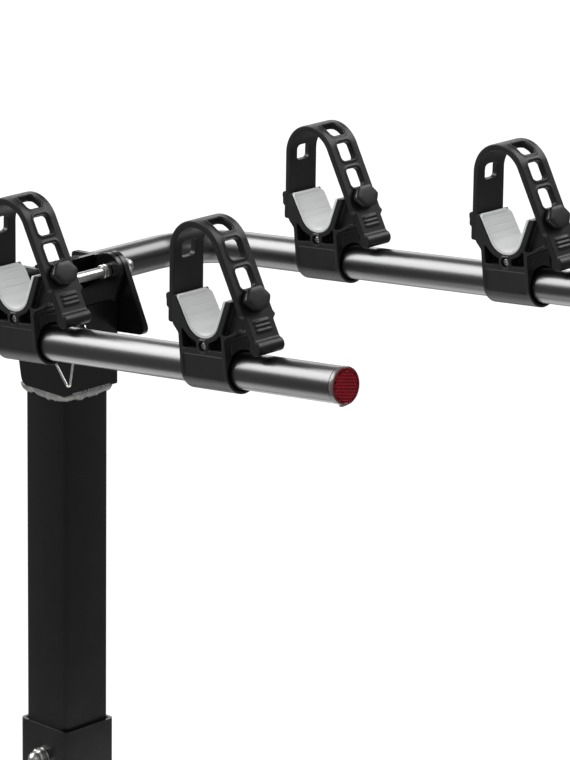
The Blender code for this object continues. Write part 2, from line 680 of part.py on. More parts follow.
def cradles(plastic, rubber, grey, zinc, axle):
    hinge = leg_point(0) + LEG_OUT * (STRAP_THICK / 2)
    shapes = {
        "cradle": (cradle_body_mesh(), plastic),
        "pad": (pad_mesh(), grey),
        "strap_knob": (knob_mesh(), plastic),
        "cradle_screw": (screw_mesh(), zinc),
        "strap_loop": (strap_loop_mesh(), rubber),
    }
    tail = strap_tail_mesh(hinge)
    for side, y in (("near", -ARM_SPACING / 2), ("far", ARM_SPACING / 2)):
        for place_word, s in zip(("inner", "outer"), CRADLE_S):
            ending = "_" + side + "_" + place_word
            matrix = arm_matrix(s, y)
            for name, (mesh, look) in shapes.items():
                place(name + ending, mesh, look, axle, matrix)
            spot = matrix @ Vector((hinge.x * MM, 0, hinge.y * MM))
            bend = axle_at("strap_axle" + ending, *(c / MM for c in spot), parent=axle)
            at_hinge = matrix @ Matrix.Translation((hinge.x * MM, 0, hinge.y * MM))
            place("strap_tail" + ending, tail, rubber, bend, at_hinge)


def main():
    clear_scene()
    black = material("black_powder_coat", (0.012, 0.012, 0.013), 0.32)
    zinc = material("bright_zinc", (0.62, 0.62, 0.60), 0.28, 1.0)
    weld = material("weld_metal", (0.30, 0.30, 0.30), 0.5, 0.9)
    plastic = material("black_plastic", (0.022, 0.022, 0.023), 0.5)
    rubber = material("black_rubber", (0.03, 0.03, 0.032), 0.6)
    grey = material("grey_pad", (0.55, 0.56, 0.56), 0.6)
    red = material("red_reflector", (0.45, 0.01, 0.02), 0.2)

    tilt = axle_at("tilt_axle", MAST_X, 0, TILT_Z)
    fold = axle_at("fold_axle", MAST_X + FOLD_X, 0, ARM_Z + FOLD_Z, parent=tilt)
    pin = axle_at("lock_pin_axle", MAST_X + LOCK_X, 0, ARM_Z + LOCK_Z, parent=fold)
    ring_y = -WING_INNER - WING_THICK - 7.0
    ring = axle_at("pull_ring_axle", MAST_X + LOCK_X, ring_y, ARM_Z + LOCK_Z, parent=pin)
    hitch_base(black, zinc, rubber)
    mast(black, zinc, weld, tilt)
    arms(black, zinc, red, fold)
    lock_pin(zinc, pin, ring)
    cradles(plastic, rubber, grey, zinc, fold)


main()
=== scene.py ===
"""Looks of the hitch mounted bike rack: paint, zinc, welds, moulded cradles, pads, straps and reflectors.

Shapes are made in millimetres and become metres in mesh_of. The frame's axes are the CAD's: +X away from
the vehicle, +Y across it, +Z up. A cradle's own frame is s along its arm, y across it and w square to it.
"""

import math

import bmesh
import bpy
from mathutils import Matrix, Vector, noise


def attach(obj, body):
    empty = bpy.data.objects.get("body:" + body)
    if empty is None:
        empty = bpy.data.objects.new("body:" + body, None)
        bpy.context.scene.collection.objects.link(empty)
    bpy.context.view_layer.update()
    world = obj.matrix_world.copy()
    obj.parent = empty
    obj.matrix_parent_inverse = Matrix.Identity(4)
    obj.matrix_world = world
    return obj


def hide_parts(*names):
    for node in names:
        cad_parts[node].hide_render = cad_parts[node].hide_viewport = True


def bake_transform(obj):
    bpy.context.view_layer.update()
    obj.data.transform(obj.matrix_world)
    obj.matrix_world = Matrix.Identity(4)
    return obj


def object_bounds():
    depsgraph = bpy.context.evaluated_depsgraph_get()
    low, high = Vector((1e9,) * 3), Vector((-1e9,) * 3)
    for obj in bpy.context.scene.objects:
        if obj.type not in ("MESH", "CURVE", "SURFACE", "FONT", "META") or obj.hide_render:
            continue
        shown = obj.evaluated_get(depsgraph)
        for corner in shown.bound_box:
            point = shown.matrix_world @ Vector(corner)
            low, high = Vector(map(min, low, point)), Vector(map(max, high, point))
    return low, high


MM = 0.001
GAP = 0.3

# Rack
MAST_X = 206.0
MAST_SIDE = 44.45
SHANK_SIDE = 50.8
CHEEK_BACK = 70.0
CHEEK_THICK = 6.0
HITCH_FACE = 12.0
TILT_BOLT_Z = 30
PLUNGER_Z = 90
SLEEVE_BOLT_Z = (("upper", 304.6), ("lower", 228.4))
HEAD_FOOT_Z = 596.3
HITCH_BOLT_R = 6.35
TILT_BOLT_R = 6.0
SLEEVE_BOLT_R = 4.0
FOLD_BOLT_R = 4.0

# Arms
ARM_Z = 674.8
ARM_RISE = math.radians(6.3)
ARM_R = 12.7
ARM_WALL = 1.8
ARM_HALF_SPACING = 152.4
ARM_BEND_R = 45.0
CROSSBAR_S = -17.5
ARM_END_S = 427.3
WING_OUTER = 32.0
FOLD_X, FOLD_Z = 20.0, 8.3
LOCK_X, LOCK_Z, RING_Y = 37.0, -25.0, -39.0

# Cradles and straps
CRADLE_S = {"inner": 126.5, "outer": 314.5}
CRADLE_DEEP = 16.0
TROUGH = (1.5, 39.2)
TROUGH_R = 14.0
TROUGH_FLARE = math.radians(26.0)
LIP_W = 50.5
PAD_THICK = 2.4
ARCH = Vector((-2.3, 78.2))
ARCH_R = 22.2
REAR_LEAN = math.radians(6.3)
REAR_ANGLE = math.radians(173.7)
ARCH_END_ANGLE = math.radians(22.5)
LEG_ANGLE = math.radians(-67.5)
LEG_ALONG = Vector((math.cos(LEG_ANGLE), math.sin(LEG_ANGLE)))
LEG_OUT = Vector((-LEG_ALONG.y, LEG_ALONG.x))
STRAP_FOOT_W = 30.5
STRAP_HALF_WIDTH = 14.0
STRAP_THICK = 5.0
KNOB_T = 41.0
KNOB_R = 10.0
KNOB_STEM = 3.2
STEM_R = 4.2
TAIL_T = 73.0
SCREW_AT = (0.6, 17.6)

# Stage
FLOOR_R = 650
FLOOR_X = 0.25

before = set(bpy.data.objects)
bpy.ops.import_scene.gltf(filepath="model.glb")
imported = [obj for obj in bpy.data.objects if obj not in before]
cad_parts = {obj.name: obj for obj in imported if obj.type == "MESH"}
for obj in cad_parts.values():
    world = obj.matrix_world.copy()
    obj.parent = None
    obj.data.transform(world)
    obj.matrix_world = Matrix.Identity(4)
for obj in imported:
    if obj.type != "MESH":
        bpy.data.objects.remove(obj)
cad_low, cad_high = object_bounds()


# ---------------------------------------------------------------- materials

def surface(name, colour, rough, metallic=0.0, specular=0.5, coat=0.0, coat_rough=0.1,
            grain=(900, 0.3, 0.00003), tint=0.12, rough_change=0.08, streak=None):
    """Material with grain (scale, strength, depth in metres), uneven colour and uneven roughness."""
    made = bpy.data.materials.new(name)
    made.use_nodes = True
    tree = made.node_tree
    shader = tree.nodes["Principled BSDF"]
    shader.inputs["Metallic"].default_value = metallic
    shader.inputs["Specular IOR Level"].default_value = specular
    shader.inputs["Coat Weight"].default_value = coat
    shader.inputs["Coat Roughness"].default_value = coat_rough
    where = tree.nodes.new("ShaderNodeTexCoord").outputs["Object"]
    if streak:
        stretch = tree.nodes.new("ShaderNodeMapping")
        stretch.inputs["Scale"].default_value = streak
        tree.links.new(where, stretch.inputs["Vector"])
        fine_at = stretch.outputs["Vector"]
    else:
        fine_at = where
    fine = tree.nodes.new("ShaderNodeTexNoise")
    fine.inputs["Scale"].default_value = grain[0]
    fine.inputs["Detail"].default_value = 3
    tree.links.new(fine_at, fine.inputs["Vector"])
    broad = tree.nodes.new("ShaderNodeTexNoise")
    broad.inputs["Scale"].default_value = 60
    broad.inputs["Detail"].default_value = 4
    tree.links.new(where, broad.inputs["Vector"])
    bump = tree.nodes.new("ShaderNodeBump")
    bump.inputs["Strength"].default_value = grain[1]
    bump.inputs["Distance"].default_value = grain[2]
    tree.links.new(fine.outputs["Fac"], bump.inputs["Height"])
    tree.links.new(bump.outputs["Normal"], shader.inputs["Normal"])
    ramp = tree.nodes.new("ShaderNodeMix")
    ramp.data_type = "RGBA"
    ramp.inputs["A"].default_value = (*[c * (1 - tint) for c in colour], 1)
    ramp.inputs["B"].default_value = (*[min(1, c * (1 + tint)) for c in colour], 1)
    tree.links.new(broad.outputs["Fac"], ramp.inputs["Factor"])
    tree.links.new(ramp.outputs["Result"], shader.inputs["Base Color"])
    shine = tree.nodes.new("ShaderNodeMapRange")
    shine.inputs["To Min"].default_value = max(0.02, rough - rough_change)
    shine.inputs["To Max"].default_value = rough + rough_change
    tree.links.new(broad.outputs["Fac"], shine.inputs["Value"])
    tree.links.new(shine.outputs["Result"], shader.inputs["Roughness"])
    return made


SATIN = surface("satin_black_paint", (0.0040, 0.0040, 0.0042), 0.25, grain=(1400, 0.20, 0.00002),
                rough_change=0.05)
GLOSS = surface("gloss_black_paint", (0.004, 0.004, 0.0045), 0.33, specular=1.0, coat=1.0, coat_rough=0.28,
                grain=(700, 0.08, 0.00001), rough_change=0.02)
ZINC = surface("bright_zinc", (0.60, 0.60, 0.58), 0.32, metallic=1.0, grain=(1500, 0.6, 0.00005),
               tint=0.22)
WIRE = surface("bright_wire", (0.86, 0.86, 0.85), 0.28, metallic=1.0, grain=(2500, 0.15, 0.00001))
WELD = surface("weld_metal", (0.27, 0.27, 0.265), 0.45, metallic=0.5, grain=(420, 0.9, 0.0004), tint=0.5,
               rough_change=0.14, streak=(1, 1, 2.2))
PAINTED_WELD = surface("painted_weld", (0.012, 0.012, 0.013), 0.32, grain=(900, 0.6, 0.0001))
PLASTIC = surface("moulded_plastic", (0.016, 0.016, 0.017), 0.40, specular=0.45,
                  grain=(2600, 0.5, 0.00005), tint=0.16)
RUBBER = surface("strap_rubber", (0.012, 0.012, 0.013), 0.42, specular=0.42,
                 grain=(3200, 0.45, 0.00004), tint=0.18)
KNOB = surface("knob_plastic", (0.020, 0.020, 0.021), 0.36, specular=0.45,
               grain=(1500, 0.5, 0.00006), tint=0.2)
PAD = surface("grey_pad_rubber", (0.80, 0.81, 0.81), 0.5, specular=0.4,
              grain=(1800, 0.35, 0.00005), tint=0.05)
RED_CELL = surface("reflector_cell", (0.24, 0.002, 0.010), 0.3, specular=0.25,
                   grain=(3000, 0.2, 0.00002), tint=0.4)
RED_WALL = surface("reflector_wall", (0.62, 0.010, 0.040), 0.35, specular=0.25,
                   grain=(3000, 0.2, 0.00002), tint=0.25)
RED_RIM = surface("reflector_rim", (0.33, 0.006, 0.016), 0.25, specular=0.4, coat=0.4,
                  grain=(1500, 0.2, 0.00002), tint=0.2)
COLLAR = surface("reflector_collar", (0.16, 0.12, 0.12), 0.3, specular=0.8, coat=0.8, coat_rough=0.2,
                 grain=(1500, 0.2, 0.00002), tint=0.3)


# ---------------------------------------------------------------- shapes

def arc(centre, radius, start, end, steps):
    angles = [start + (end - start) * i / steps for i in range(steps + 1)]
    return [(centre[0] + radius * math.cos(a), centre[1] + radius * math.sin(a)) for a in angles]


def circle(radius, count):
    return arc((0, 0), radius, 0, math.tau * (count - 1) / count, count - 1)


def rounded(corners, steps=6):
    """Outline through (x, y, radius) corners, each turned into an arc of its radius."""
    outline = []
    for i, (x, y, radius) in enumerate(corners):
        if radius == 0:
            outline.append((x, y))
            continue
        here = Vector((x, y))
        before = (Vector(corners[i - 1][:2]) - here).normalized()
        after = (Vector(corners[(i + 1) % len(corners)][:2]) - here).normalized()
        half = before.angle(after) / 2
        centre = here + (before + after).normalized() * (radius / math.sin(half))
        first = here + before * (radius / math.tan(half)) - centre
        last = here + after * (radius / math.tan(half)) - centre
        turn = first.angle_signed(last)
        for k in range(steps + 1):
            spot = centre + Matrix.Rotation(-turn * k / steps, 2) @ first
            outline.append((spot.x, spot.y))
    return outline


def box_outline(half_x, half_y, radius, steps=6):
    corners = ((-half_x, -half_y), (half_x, -half_y), (half_x, half_y), (-half_x, half_y))
    return rounded([(x, y, radius) for x, y in corners], steps)


AXES = {
    "x": lambda u, v, t: (t, u, v),
    "y": lambda u, v, t: (u, t, v),
    "z": lambda u, v, t: (u, v, t),
}


def lofted(rings, closed=False):
    """Skin through rings of points, each with as many points as the next, or one; capped unless closed."""
    bm = bmesh.new()
    made = [[bm.verts.new(p) for p in ring] for ring in rings]
    spans = list(zip(made, made[1:])) + ([(made[-1], made[0])] if closed else [])
    count = max(len(ring) for ring in made)
    for a, b in spans:
        for i in range(count):
            j = (i + 1) % count
            around = [a[i % len(a)], a[j % len(a)], b[j % len(b)], b[i % len(b)]]
            bm.faces.new(list(dict.fromkeys(around)))
    if not closed:
        for ring in (made[0], made[-1]):
            if len(ring) > 1:
                bm.faces.new(ring)
    bmesh.ops.recalc_face_normals(bm, faces=bm.faces)
    return bm


def prism(outline, axis, low, high, at=(0, 0)):
    put = AXES[axis]
    return lofted([[put(u + at[0], v + at[1], t) for u, v in outline] for t in (low, high)])


def rod(radius, axis, low, high, at=(0, 0), count=48):
    return prism(circle(radius, count), axis, low, high, at)


def turned(profile, axis, at=(0, 0), count=48):
    """Solid of revolution about an axis, from (radius, distance) points."""
    put = AXES[axis]
    rings = []
    for radius, t in profile:
        ring = circle(radius, count) if radius else [(0, 0)]
        rings.append([put(at[0] + u, at[1] + v, t) for u, v in ring])
    return lofted(rings)


def revolved(section, count):
    """Ring about the y axis, from a closed section of (radius, y) points."""
    angles = [math.tau * k / count for k in range(count)]
    return lofted([[(r * math.cos(a), t, r * math.sin(a)) for r, t in section] for a in angles], closed=True)


def swept(path, radius, count, closed=False, wall=0.0, size=None):
    """Round wire, or with a wall a tube; size(i) scales the section at point i."""
    points = [Vector(p) for p in path]
    last = len(points) - 1
    side = None
    shells = {radius: [], radius - wall: []} if wall else {radius: []}
    for i, point in enumerate(points):
        before = points[i - 1] if i or closed else point
        after = points[(i + 1) % len(points)] if i < last or closed else point
        along = (after - before).normalized()
        if side is None:
            side = along.orthogonal().normalized()
        side = (side - along * side.dot(along)).normalized()
        other = along.cross(side)
        grow = size(i) if size else 1.0
        for r, rings in shells.items():
            rings.append([point + side * u * grow + other * v * grow for u, v in circle(r, count)])
    if not wall:
        return lofted(shells[radius], closed)
    return lofted(shells[radius] + shells[radius - wall][::-1], closed=True)


def joined(*parts):
    """One bmesh of all the parts; they may touch or overlap."""
    whole = bmesh.new()
    for part in parts:
        mesh = bpy.data.meshes.new("part")
        part.to_mesh(mesh)
        part.free()
        whole.from_mesh(mesh)
        bpy.data.meshes.remove(mesh)
    return whole


def mesh_of(name, bm):
    mesh = bpy.data.meshes.new(name)
    bmesh.ops.scale(bm, vec=(MM, MM, MM), verts=bm.verts)
    bm.to_mesh(mesh)
    bm.free()
    return mesh


def evaluated(obj):
    """The object's mesh with its modifiers applied; the object itself is removed."""
    graph = bpy.context.evaluated_depsgraph_get()
    mesh = bpy.data.meshes.new_from_object(obj.evaluated_get(graph))
    bpy.data.objects.remove(obj)
    return mesh


def temporary(name, mesh):
    obj = bpy.data.objects.new(name, mesh)
    bpy.context.scene.collection.objects.link(obj)
    return obj


def combined(name, base, *steps):
    """Mesh of the base after each (operation, other) step, such as ("DIFFERENCE", hole)."""
    body = temporary(name, mesh_of(name, base))
    tools = []
    for operation, other in steps:
        tools.append(temporary(name + "_tool", mesh_of(name + "_tool", other)))
        change = body.modifiers.new(operation, "BOOLEAN")
        change.operation = operation
        change.solver = "EXACT"
        change.object = tools[-1]
    result = evaluated(body)
    for tool in tools:
        bpy.data.objects.remove(tool)
    return result


def softened(mesh, voxel, smooth, keep=1.0):
    """The mesh rebuilt from small voxels and smoothed, so that its edges are moulded ones."""
    obj = temporary("softened", mesh)
    change = obj.modifiers.new("voxels", "REMESH")
    change.mode = "VOXEL"
    change.voxel_size = voxel * MM
    change.adaptivity = 0
    relax = obj.modifiers.new("relax", "SMOOTH")
    relax.iterations = smooth
    relax.factor = 0.5
    if keep < 1:
        fewer = obj.modifiers.new("fewer", "DECIMATE")
        fewer.ratio = keep
    return evaluated(obj)


def piece(name, mesh, look, body, replaced=(), matrix=None, sharp=35):
    obj = bpy.data.objects.new(name, mesh)
    bpy.context.scene.collection.objects.link(obj)
    if matrix is not None:
        obj.matrix_world = matrix
    if look is not None:
        mesh.materials.clear()
        mesh.materials.append(look)
    mesh.shade_smooth()
    mesh.set_sharp_from_angle(angle=math.radians(sharp))
    if body:
        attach(obj, body)
    if replaced:
        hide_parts(*replaced)
    return obj


def refined(node, look, body, width, segments=2, sharp=32):
    """Copy of a CAD node's shape with its edges rounded to a width in millimetres.

    The edges between triangles of one flat face go first, so that only real edges are left to round.
    """
    bm = bmesh.new()
    bm.from_mesh(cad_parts[node].data)
    bmesh.ops.remove_doubles(bm, verts=bm.verts, dist=2e-6)
    bmesh.ops.dissolve_limit(bm, angle_limit=math.radians(0.6), verts=bm.verts, edges=bm.edges)
    mesh = bpy.data.meshes.new(node + "_detail")
    bm.to_mesh(mesh)
    bm.free()
    obj = piece(node + "_detail", mesh, look, body, (node,), sharp=sharp)
    change = obj.modifiers.new("edges", "BEVEL")
    change.width = width * MM
    change.segments = segments
    change.limit_method = "ANGLE"
    change.angle_limit = math.radians(sharp)
    change.harden_normals = True
    change.use_clamp_overlap = True
    return obj


def thinned(mesh, ratio):
    """The mesh with only this share of its triangles."""
    obj = temporary("thinned", mesh)
    obj.modifiers.new("fewer", "DECIMATE").ratio = ratio
    return evaluated(obj)


def moved(x, y, z, turn=None):
    shift = Matrix.Translation((x * MM, y * MM, z * MM))
    return shift @ turn if turn else shift


def arm_matrix(s, y):
    x = MAST_X + s * math.cos(ARM_RISE)
    z = ARM_Z + s * math.sin(ARM_RISE)
    return moved(x, y, z, Matrix.Rotation(-ARM_RISE, 4, "Y"))


HALF_TURN = Matrix.Rotation(math.pi, 4, "Z")


# ---------------------------------------------------------------- fasteners

def hexagon(thread_r, low, high, chamfer_low=False, chamfer_high=False):
    """Hexagonal prism along y with its corners chamfered at the ends asked for."""
    flat = 1.65 * thread_r
    corner = flat / math.cos(math.pi / 6)
    cut = flat * 0.94
    edge = 0.13 * (high - low)
    rings = []
    ends = [(low, cut if chamfer_low else corner), (low + edge, corner),
            (high - edge, corner), (high, cut if chamfer_high else corner)]
    for t, reach in ends:
        ring = []
        for k in range(60):
            angle = math.tau * k / 60
            local = (angle + math.pi / 6) % (math.pi / 3) - math.pi / 6
            r = min(flat / math.cos(local), reach)
            ring.append((r * math.sin(angle), t, r * math.cos(angle)))
        rings.append(ring)
    return lofted(rings)


def dome_nut(thread_r):
    """Dome nut seated at y = 0 with its dome to -y."""
    base = hexagon(thread_r, -1.6 * thread_r, -0.12 * thread_r, chamfer_low=True)
    flange_top = -0.2 * thread_r
    flange = turned([(0, flange_top), (1.72 * thread_r, flange_top), (1.8 * thread_r, 0), (0, 0)], "y")
    dome_r = 1.42 * thread_r
    top = arc((0, -1.9 * thread_r), dome_r, 0, -math.pi / 2, 12)
    profile = [(0, -1.4 * thread_r), (dome_r, -1.4 * thread_r)] + top[:-1] + [(0, top[-1][1])]
    return joined(base, flange, turned(profile, "y"))


def bolt(thread_r, length):
    """Hexagon head on the +y side of y = 0 and a shank to -y, ending in a chamfer."""
    head = hexagon(thread_r, 0, 1.3 * thread_r, chamfer_high=True)
    shank = turned([(0, 0.4), (thread_r, 0.4), (thread_r, -length + 1), (thread_r - 1, -length),
                    (0, -length)], "y")
    return joined(head, shank)


def washer(inner, outer, thick):
    edge = 0.25
    section = [(inner, -thick / 2), (outer - edge, -thick / 2), (outer, -thick / 2 + edge),
               (outer, thick / 2 - edge), (outer - edge, thick / 2), (inner, thick / 2)]
    return revolved(section, 48)


def fasteners():
    mast_face = SHANK_SIDE / 2 + GAP
    cheek_face = mast_face + CHEEK_THICK + GAP
    piece("tilt_bolt_detail", mesh_of("tilt_bolt", bolt(TILT_BOLT_R, 2 * cheek_face + 1.9 * TILT_BOLT_R)),
          ZINC, "base", ("tilt_bolt",), moved(MAST_X, cheek_face, TILT_BOLT_Z))
    piece("tilt_nut_detail", mesh_of("tilt_nut", dome_nut(TILT_BOLT_R)),
          ZINC, "base", ("tilt_nut",), moved(MAST_X, -cheek_face, TILT_BOLT_Z))
    for word, z in SLEEVE_BOLT_Z:
        length = 2 * mast_face + 1.9 * SLEEVE_BOLT_R
        piece("sleeve_bolt_" + word + "_detail", mesh_of("sleeve_bolt", bolt(SLEEVE_BOLT_R, length)),
              ZINC, "mast", ("sleeve_bolt_" + word,), moved(MAST_X, mast_face, z))
        piece("sleeve_nut_" + word + "_detail", mesh_of("sleeve_nut", dome_nut(SLEEVE_BOLT_R)),
              ZINC, "mast", ("sleeve_nut_" + word,), moved(MAST_X, -mast_face, z))
    hitch_face = SHANK_SIDE / 2 + HITCH_FACE
    piece("hitch_bolt_detail", mesh_of("hitch_bolt", bolt(HITCH_BOLT_R, 2 * hitch_face + 6)), ZINC,
          "hitch_bolt", ("hitch_bolt",),
          moved(0, -hitch_face - 2.6, SHANK_SIDE / 2, HALF_TURN))
    piece("hitch_washer_detail", mesh_of("hitch_washer", washer(HITCH_BOLT_R + GAP, 14, 2.0)), ZINC,
          "hitch_bolt", ("hitch_washer",), moved(0, -hitch_face - 1.3, SHANK_SIDE / 2))

    x, z = MAST_X + FOLD_X, ARM_Z + FOLD_Z
    washer_thick = 1.4
    seat = WING_OUTER + 2 * GAP + washer_thick
    reach = seat + 2.2 * FOLD_BOLT_R
    end_r = FOLD_BOLT_R - 1
    fold_rod = [(0, -reach), (end_r, -reach), (FOLD_BOLT_R, 1 - reach), (FOLD_BOLT_R, reach - 1),
                (end_r, reach), (0, reach)]
    piece("fold_bolt_detail", mesh_of("fold_bolt", turned(fold_rod, "y")), ZINC, "arms",
          ("fold_bolt",), moved(x, 0, z))
    for word, side in (("near", -1), ("far", 1)):
        turn = HALF_TURN if side > 0 else None
        ring = washer(FOLD_BOLT_R + GAP, 8.5, washer_thick)
        piece("fold_washer_" + word + "_detail", mesh_of("fold_washer", ring), ZINC, "arms",
              ("fold_washer_" + word,), moved(x, side * (WING_OUTER + GAP + 0.7), z))
        piece("fold_nut_" + word + "_detail", mesh_of("fold_nut", dome_nut(FOLD_BOLT_R)), ZINC, "arms",
              ("fold_nut_" + word,), moved(x, side * seat, z, turn))
    head_inside = 22.55
    low, high, outer = head_inside - 6.6, head_inside - GAP, FOLD_BOLT_R + 1.3
    groove = low + 2.2
    section = [(FOLD_BOLT_R + GAP, low), (outer - 0.4, low), (outer, low + 0.4), (outer, groove),
               (outer - 0.5, groove + 0.3), (outer - 0.5, groove + 0.8), (outer, groove + 1.1),
               (outer, high - 0.4), (outer - 0.4, high), (FOLD_BOLT_R + GAP, high)]
    piece("fold_collar_detail", mesh_of("fold_collar", revolved(section, 40)), ZINC, "arms",
          ("fold_collar",), moved(x, 0, z))


# ---------------------------------------------------------------- welds

def lump(point, scale, seed):
    """Smooth uneven value between about -1 and 1, the same for the same point and seed."""
    return noise.noise(Vector(point) * scale + Vector((seed, seed, seed)))


def bead(path, radius, seed, closed=False):
    """Weld bead along a path, rippled and of an uneven width."""
    ripple = 2.4
    along = [0.0]
    for a, b in zip(path, path[1:]):
        along.append(along[-1] + (Vector(b) - Vector(a)).length)
    bm = swept(path, radius, 14, closed,
               size=lambda i: (1 + 0.10 * math.cos(math.tau * along[i] / ripple)
                               + 0.35 * lump(path[i], 0.30, seed)))
    for vert in bm.verts:
        vert.co += Vector([0.30 * lump(vert.co, 0.9, seed + k) for k in (3, 7, 11)])
    return bm


def mast_weld():
    """Fillet weld between the head's foot and the mast, in overlapping lumps.

    Its section runs from the foot's edge down to the mast, and laps up over the foot on the +x side.
    """
    half = MAST_SIDE / 2 + GAP
    corner_r, step, pitch = 4, 0.6, 3.7
    outline = []
    corners = ((1, -1, -90), (1, 1, 0), (-1, 1, 90), (-1, -1, 180))
    for sx, sy, start in corners:
        centre = (sx * (half - corner_r), sy * (half - corner_r))
        outline += arc(centre, corner_r, math.radians(start), math.radians(start + 90), 8)
    dense = []
    for i, here in enumerate(outline):
        there = outline[(i + 1) % len(outline)]
        steps = max(1, round((Vector(there) - Vector(here)).length / step))
        dense += [tuple(Vector(here).lerp(Vector(there), k / steps)) for k in range(steps)]
    rings, run = [], 0.0
    top = HEAD_FOOT_Z - GAP
    for i, here in enumerate(dense):
        before, after = Vector(dense[i - 1]), Vector(dense[(i + 1) % len(dense)])
        out = Vector(((after - before).y, -(after - before).x)).normalized()
        run += (Vector(here) - before).length if i else 0
        ripple = math.cos(math.tau * run / pitch)
        drop = 5.6 + 2.2 * lump((here[0], here[1], 0), 0.16, 5.0) + 0.25 * ripple
        swell = 4.1 + 0.6 * lump((here[0], here[1], 9), 0.22, 2.0) + 0.12 * ripple
        lap = 2.4 if here[0] > half - 1.5 else 0.6
        ring = [(here[0] + out.x * (swell + 0.3), here[1] + out.y * (swell + 0.3), top + lap)]
        for k in range(9):
            angle = math.pi / 2 * k / 8
            bulge = 1 - 0.12 * math.sin(2 * angle)
            reach, fall = swell * math.cos(angle) * bulge, drop * math.sin(angle) * bulge
            ring.append((here[0] + out.x * reach, here[1] + out.y * reach, top - fall))
        ring += [(here[0], here[1], top - drop * 0.5), (here[0], here[1], top)]
        rings.append([(x + MAST_X, y, z) for x, y, z in ring])
    bm = lofted(rings, closed=True)
    for vert in bm.verts:
        vert.co += Vector((0.35 * lump(vert.co, 0.6, 1), 0.35 * lump(vert.co, 0.6, 4),
                           0.30 * lump(vert.co, 0.6, 8)))
    piece("mast_weld_bead", mesh_of("mast_weld", bm), WELD, "mast", ("mast_weld",), sharp=60)


def other_welds():
    """Painted beads: round the crossbar at both wings, along the web's top, and down both cheek plates."""
    cross_x = MAST_X + CROSSBAR_S * math.cos(ARM_RISE)
    cross_z = ARM_Z + CROSSBAR_S * math.sin(ARM_RISE)
    beads = []
    for side in (-1, 1):
        y = side * (WING_OUTER + 0.6)
        ring = [(cross_x + u, y, cross_z + v) for u, v in circle(ARM_R + 0.5, 150)]
        beads.append(bead(ring, 1.7, 3.0 * side, closed=True))
    web_x, web_top = MAST_X - 4.5, ARM_Z + 14.8
    beads.append(bead([(web_x, -26 + 0.4 * k, web_top) for k in range(106)], 1.9, 9.0))
    piece("crossbar_welds", mesh_of("crossbar_welds", joined(*beads)), PAINTED_WELD, "arms",
          sharp=60)
    beads = []
    for side in (-1, 1):
        y = side * (SHANK_SIDE / 2 + 1.2)
        beads.append(bead([(CHEEK_BACK - 0.8, y, 9 + 0.5 * k) for k in range(68)], 1.9, 20.0 + side))
    piece("cheek_welds", mesh_of("cheek_welds", joined(*beads)), PAINTED_WELD, "base",
          sharp=60)


# ---------------------------------------------------------------- frame parts

def frame_parts():
    """Square tubes, plates and brackets with rounded edges; the plunger, the lock pin and its ring."""
    for node, body, width in (("hitch_shank", "base", 0.8), ("cheek_near", "base", 0.9),
                              ("cheek_far", "base", 0.9), ("base_sleeve", "mast", 1.1),
                              ("mast_tube", "mast", 0.6), ("head_bracket", "mast", 0.7),
                              ("arm_bracket", "arms", 0.8)):
        refined(node, SATIN, body, width)
    refined("shank_end_cap", RUBBER, "base", 0.8, 3)

    cheek_face = -SHANK_SIDE / 2 - GAP - CHEEK_THICK
    tip = -SHANK_SIDE / 2 + 2.0
    profile = [
        (0, tip), (2.5, tip), (5, tip - 2.5), (5, cheek_face - 1), (7.7, cheek_face - 1),
        (8, cheek_face - 1.3), (8, cheek_face - 4.7), (7.6, cheek_face - 5.2), (4, cheek_face - 7),
        (4, cheek_face - 16),
        (5.5, cheek_face - 16.6), (10.4, cheek_face - 18), (11.4, cheek_face - 19.2), (12, cheek_face - 21.5),
        (11.7, cheek_face - 24), (10.4, cheek_face - 26), (8, cheek_face - 27), (0, cheek_face - 27.5),
    ]
    piece("tilt_plunger_detail", mesh_of("tilt_plunger", turned(profile, "y")), ZINC, "tilt_plunger",
          ("tilt_plunger",), moved(MAST_X, 0, PLUNGER_Z))

    profile = [(0, -18), (3.6, -18), (4.8, -19.2), (4.8, -32.6), (7.2, -32.6), (7.5, -32.9), (7.5, -34.7),
               (7.2, -35), (4.2, -35), (4.2, -42.4), (3, -44), (0, -44)]
    eye = rod(1.2, "x", -10, 10, (RING_Y, 0), 24)
    pin = combined("lock_pin", turned(profile, "y"), ("DIFFERENCE", eye))
    piece("lock_pin_detail", pin, ZINC, "lock_pin", ("lock_pin",),
          moved(MAST_X + LOCK_X, 0, ARM_Z + LOCK_Z))
    corners = rounded([(-27, 0, 4), (14.5, 0, 4), (7, -41, 2.2)], 14)
    ring = swept([(u, 0, v) for u, v in corners], 0.9, 16, closed=True)
    piece("pull_ring_detail", mesh_of("pull_ring", ring), WIRE, "pull_ring", ("pull_ring",),
          moved(MAST_X + LOCK_X, RING_Y, ARM_Z + LOCK_Z))


# ---------------------------------------------------------------- arms

